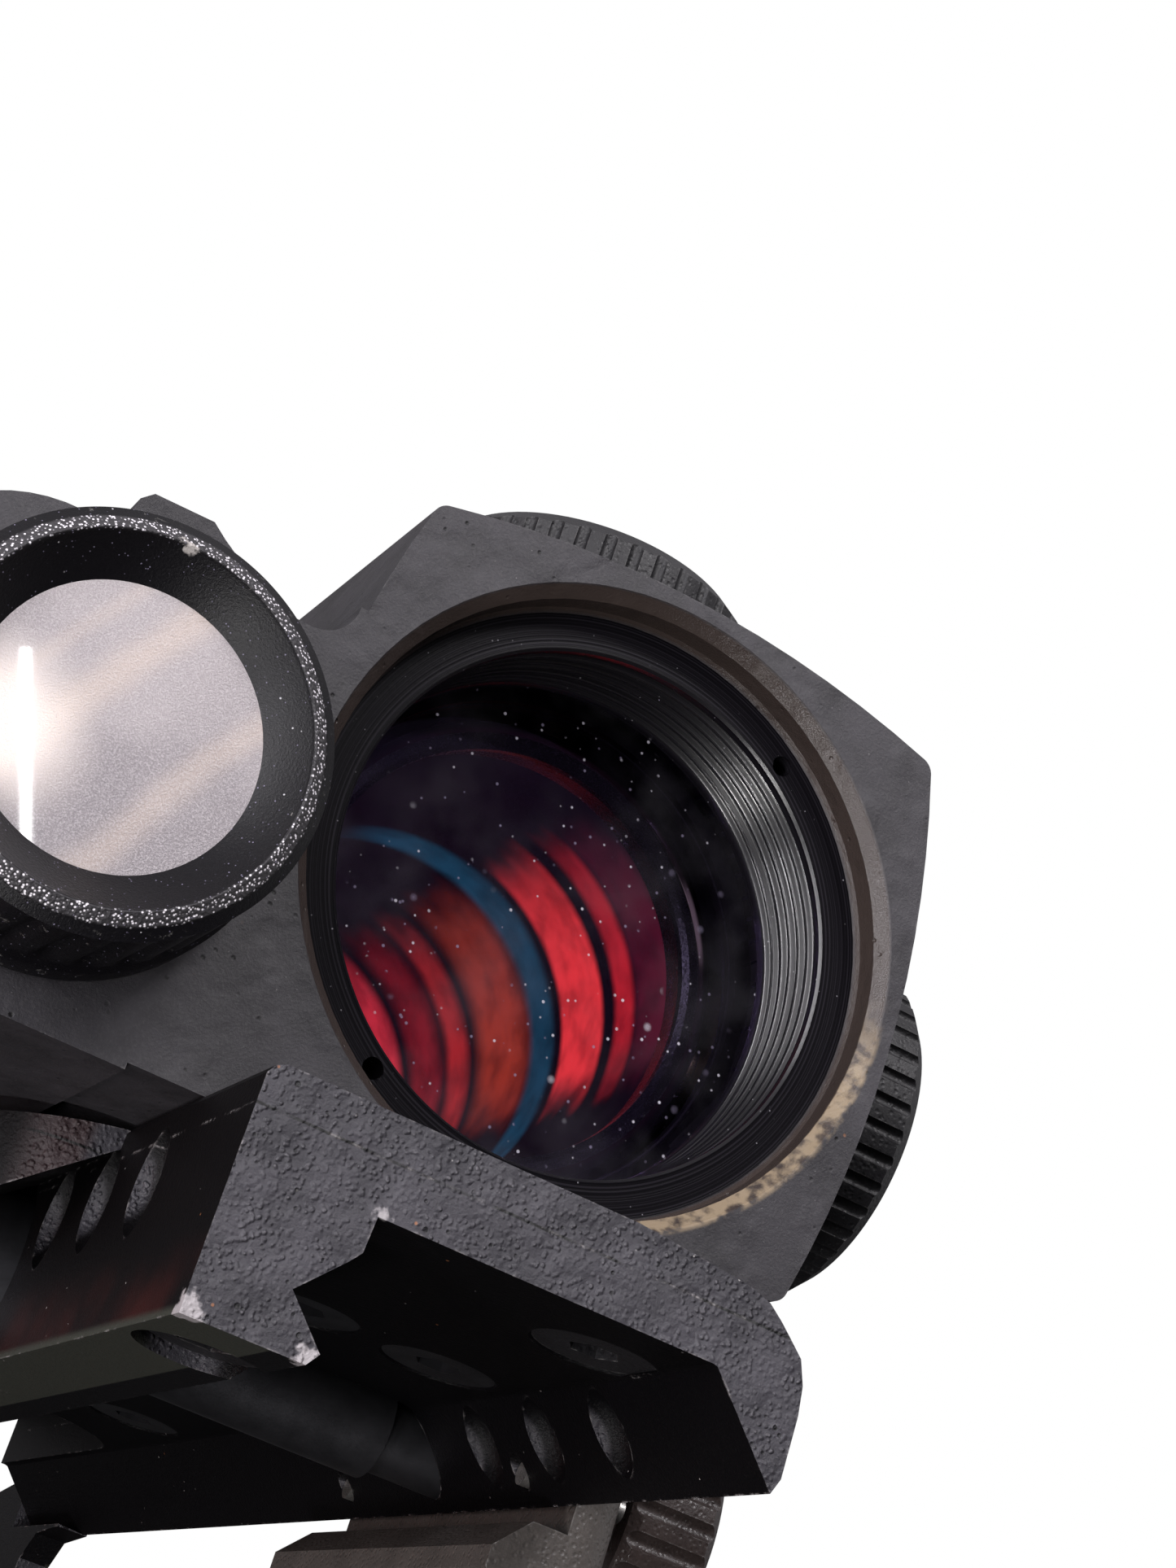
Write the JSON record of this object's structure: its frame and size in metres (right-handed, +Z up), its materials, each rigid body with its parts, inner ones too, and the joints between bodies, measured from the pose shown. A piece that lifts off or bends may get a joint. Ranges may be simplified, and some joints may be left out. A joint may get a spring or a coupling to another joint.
{
  "type": "finder scope",
  "caption": "Compact tube finder with a projected aiming dot, side battery tube with brightness dial, two capped adjusters and a rail clamp.",
  "frame": {"origin": "centre line of the rail, on the rail's top plane, at the eye end of the mount", "axes": "+X right as the user looks through it, +Y forward along the sight line, +Z up"},
  "size_m": [0.057, 0.114, 0.0527],
  "materials": {
    "housing_black": "matte, cast and blasted",
    "mount_black": "matte, cast and blasted",
    "knob_black": "satin, blasted and anodised",
    "disc_silver": "satin",
    "steel_dark": "satin",
    "steel_bright": "satin",
    "seal_rubber": "matte",
    "window_glass": "gloss, anti-reflection coated",
    "lens_glass": "gloss, coated",
    "tube_black": "satin",
    "brass": "satin",
    "board_green": "satin",
    "plastic_black": "matte",
    "cell_sleeve": "gloss",
    "wire_red": "satin",
    "emitter_red": "gloss"
  },
  "bodies": {
    "sight": {"housing": "housing_black", "riser_plate": "mount_black", "mount_base": "mount_black", "base_screws": "steel_dark", "housing_screws": "steel_dark", "cross_bolt": "steel_dark", "jaw_springs": "steel_bright", "rear_retaining_ring": "tube_black", "rear_window": "window_glass", "rear_window_seal": "seal_rubber", "led_wires": "wire_red", "tube_return_spring": "steel_bright", "front_window_seal": "seal_rubber", "front_window": "window_glass", "front_retaining_ring": "tube_black", "elevation_bushing": "brass", "elevation_clip": "steel_dark", "windage_bushing": "brass", "windage_clip": "steel_dark", "dial_seal": "seal_rubber", "detent_ball": "steel_bright", "detent_spring": "steel_bright", "rotary_switch": "plastic_black", "control_board": "board_green", "contact_holder": "plastic_black", "battery_contact": "brass", "battery_cell": "cell_sleeve"},
    "jaw": {"clamp_jaw": "mount_black", "jaw_guide_pins": "steel_bright", "nut_washer": "steel_bright"},
    "nut": {"thumb_nut": "knob_black"},
    "dial": {"brightness_dial": "knob_black", "dial_disc": "disc_silver", "dial_shaft": "steel_dark", "dial_screw": "steel_dark", "dial_clip": "steel_bright"},
    "elevation_cap_rise": {"elevation_cap_seal": "seal_rubber"},
    "elevation_cover": {"elevation_cap": "knob_black"},
    "windage_cap_rise": {"windage_cap_seal": "seal_rubber"},
    "windage_cover": {"windage_cap": "knob_black"},
    "battery_cap_rise": {"battery_cap_seal": "seal_rubber", "battery_spring": "steel_bright"},
    "battery_cover": {"battery_cap": "knob_black"},
    "elevation_knob": {"elevation_adjuster": "knob_black"},
    "windage_knob": {"windage_adjuster": "knob_black"},
    "elevation_pin": {"elevation_plunger": "steel_bright"},
    "windage_pin": {"windage_plunger": "steel_bright"},
    "tube_pivot": {"tube_pivot_ring": "plastic_black", "pivot_pins": "steel_bright"},
    "tube": {"inner_tube": "tube_black", "led_holder": "plastic_black", "led_emitter": "emitter_red", "field_stop_ring": "tube_black", "collimator_rear_element": "lens_glass", "collimator_front_element": "lens_glass", "collimator_ring": "tube_black"}
  },
  "joints": [
    {"name": "jaw_slide", "type": "slide", "parent": "sight", "child": "jaw", "axis": [1, 0, 0], "range_m": [0, 0.00281], "deforming": ["jaw_springs"]},
    {"name": "nut_turn", "type": "hinge", "parent": "jaw", "child": "nut", "pos_m": [0.018, 0.032, -0.0004], "axis": [1, 0, 0], "range_deg": [0, 1440]},
    {"name": "dial_turn", "type": "hinge", "parent": "sight", "child": "dial", "pos_m": [-0.0243, 0.0049, 0.0153], "axis": [0, 1, 0], "range_deg": [0, 330]},
    {"name": "elevation_cap_lift", "type": "slide", "parent": "sight", "child": "elevation_cap_rise", "axis": [0, 0, 1], "range_m": [0, 0.00301]},
    {"name": "elevation_cap_turn", "type": "hinge", "parent": "elevation_cap_rise", "child": "elevation_cover", "pos_m": [0, 0.0248, 0.039], "axis": [0, 0, 1], "range_deg": [0, 1440]},
    {"name": "windage_cap_lift", "type": "slide", "parent": "sight", "child": "windage_cap_rise", "axis": [1, 0, 0], "range_m": [0, 0.00301]},
    {"name": "windage_cap_turn", "type": "hinge", "parent": "windage_cap_rise", "child": "windage_cover", "pos_m": [0.019, 0.0248, 0.0206], "axis": [1, 0, 0], "range_deg": [0, 1440]},
    {"name": "battery_cap_lift", "type": "slide", "parent": "sight", "child": "battery_cap_rise", "axis": [0, 1, 0], "range_m": [0, 0.00601]},
    {"name": "battery_cap_turn", "type": "hinge", "parent": "battery_cap_rise", "child": "battery_cover", "pos_m": [-0.0243, 0.082, 0.0153], "axis": [0, 1, 0], "range_deg": [0, 2160]},
    {"name": "elevation_turn", "type": "hinge", "parent": "sight", "child": "elevation_knob", "pos_m": [0, 0.0248, 0.0375], "axis": [0, 0, 1], "range_deg": [-360, 360]},
    {"name": "windage_turn", "type": "hinge", "parent": "sight", "child": "windage_knob", "pos_m": [0.0169, 0.0248, 0.0206], "axis": [1, 0, 0], "range_deg": [-360, 360]},
    {"name": "elevation_pin_slide", "type": "slide", "parent": "sight", "child": "elevation_pin", "axis": [0, 0, 1], "range_m": [-0.00051, 0.00051]},
    {"name": "windage_pin_slide", "type": "slide", "parent": "sight", "child": "windage_pin", "axis": [1, 0, 0], "range_m": [-0.00051, 0.00051]},
    {"name": "tube_elevation_tilt", "type": "hinge", "parent": "sight", "child": "tube_pivot", "pos_m": [0, 0.081, 0.0206], "axis": [1, 0, 0], "range_deg": [-0.51, 0.51], "deforming": ["tube_return_spring"]},
    {"name": "tube_windage_tilt", "type": "hinge", "parent": "tube_pivot", "child": "tube", "pos_m": [0, 0.081, 0.0206], "axis": [0, 0, 1], "range_deg": [-0.51, 0.51], "deforming": ["tube_return_spring"]}
  ],
  "couplings": [
    {"joint": "jaw_slide", "follows": "nut_turn", "m_per_rad": 0.00011141},
    {"joint": "elevation_cap_lift", "follows": "elevation_cap_turn", "m_per_rad": 0.00011937},
    {"joint": "windage_cap_lift", "follows": "windage_cap_turn", "m_per_rad": 0.00011937},
    {"joint": "battery_cap_lift", "follows": "battery_cap_turn", "m_per_rad": 0.00015915},
    {"joint": "elevation_turn", "follows": "tube_elevation_tilt", "ratio": -706.23},
    {"joint": "elevation_pin_slide", "follows": "tube_elevation_tilt", "m_per_rad": -0.0562},
    {"joint": "windage_turn", "follows": "tube_windage_tilt", "ratio": 706.23},
    {"joint": "windage_pin_slide", "follows": "tube_windage_tilt", "m_per_rad": 0.0562}
  ]
}
